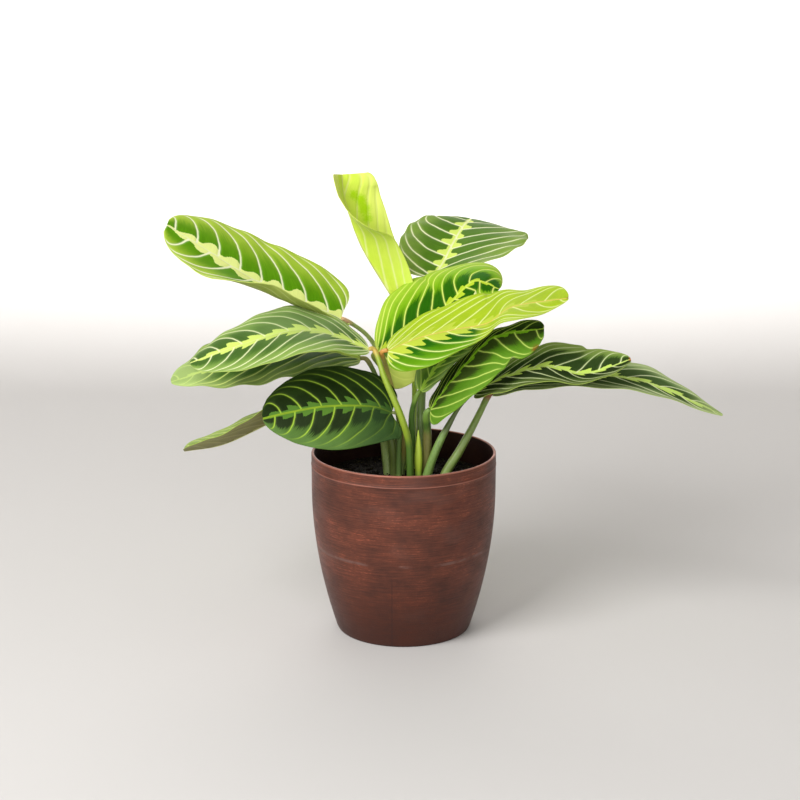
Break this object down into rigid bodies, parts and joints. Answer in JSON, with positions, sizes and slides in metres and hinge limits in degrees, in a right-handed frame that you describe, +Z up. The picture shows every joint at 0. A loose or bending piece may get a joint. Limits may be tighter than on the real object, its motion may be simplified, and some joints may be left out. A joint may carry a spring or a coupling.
{
  "type": "potted prayer plant",
  "caption": "Young prayer plant with broad marbled leaves, lime midrib bands and arched pale veins, standing in a round tapered copper-brown pot filled with soil",
  "frame": {"origin": "centre of the pot's flat underside", "axes": "+Z up; -Y towards the side that the picture shows; +X to its right"},
  "size_m": [0.3389, 0.191, 0.2815],
  "materials": {
    "pot": "satin, horizontally brushed copper over dark brown, worn",
    "soil": "loose dark potting soil, matt",
    "leaf_bright": "waxy, bright green with cream veins and a lime midrib band",
    "leaf_lime": "waxy, pale lime with whitish veins",
    "leaf_grey_green": "waxy with a grey sheen, cream veins and a lime midrib band",
    "leaf_dark": "waxy, very dark green with lime veins and a lime midrib band",
    "leaf_olive": "waxy, olive underside with pale veins",
    "stalk_green": "smooth, satin, streaked light green",
    "stalk_tan": "smooth, satin, orange-tan",
    "stalk_brown": "smooth, satin, brown-green",
    "sheath_lime": "smooth, satin, bright lime"
  },
  "bodies": {
    "root": {"pot": "pot", "soil": "soil", "stalk_upper_left": "stalk_green", "stalk_top_folded": "stalk_green", "stalk_back": "stalk_green", "stalk_centre_back": "stalk_green", "stalk_centre_front": "stalk_tan", "stalk_left_middle": "stalk_green", "stalk_left_under": "stalk_green", "stalk_front_left": "stalk_brown", "stalk_lower_left": "stalk_green", "stalk_right_front": "stalk_brown", "stalk_right_upper": "stalk_green", "stalk_right_long": "stalk_green", "stalk_small_centre": "stalk_green", "sheath_young": "sheath_lime", "leaf_upper_left": "leaf_bright", "leaf_top_folded": "leaf_lime", "leaf_back": "leaf_grey_green", "leaf_centre_back": "leaf_bright", "leaf_centre_front": "leaf_lime", "leaf_left_middle": "leaf_grey_green", "leaf_left_under": "leaf_dark", "leaf_front_left": "leaf_dark", "leaf_lower_left": "leaf_olive", "leaf_right_front": "leaf_dark", "leaf_right_upper": "leaf_dark", "leaf_right_long": "leaf_dark", "leaf_small_centre": "leaf_dark"}
  },
  "joints": []
}
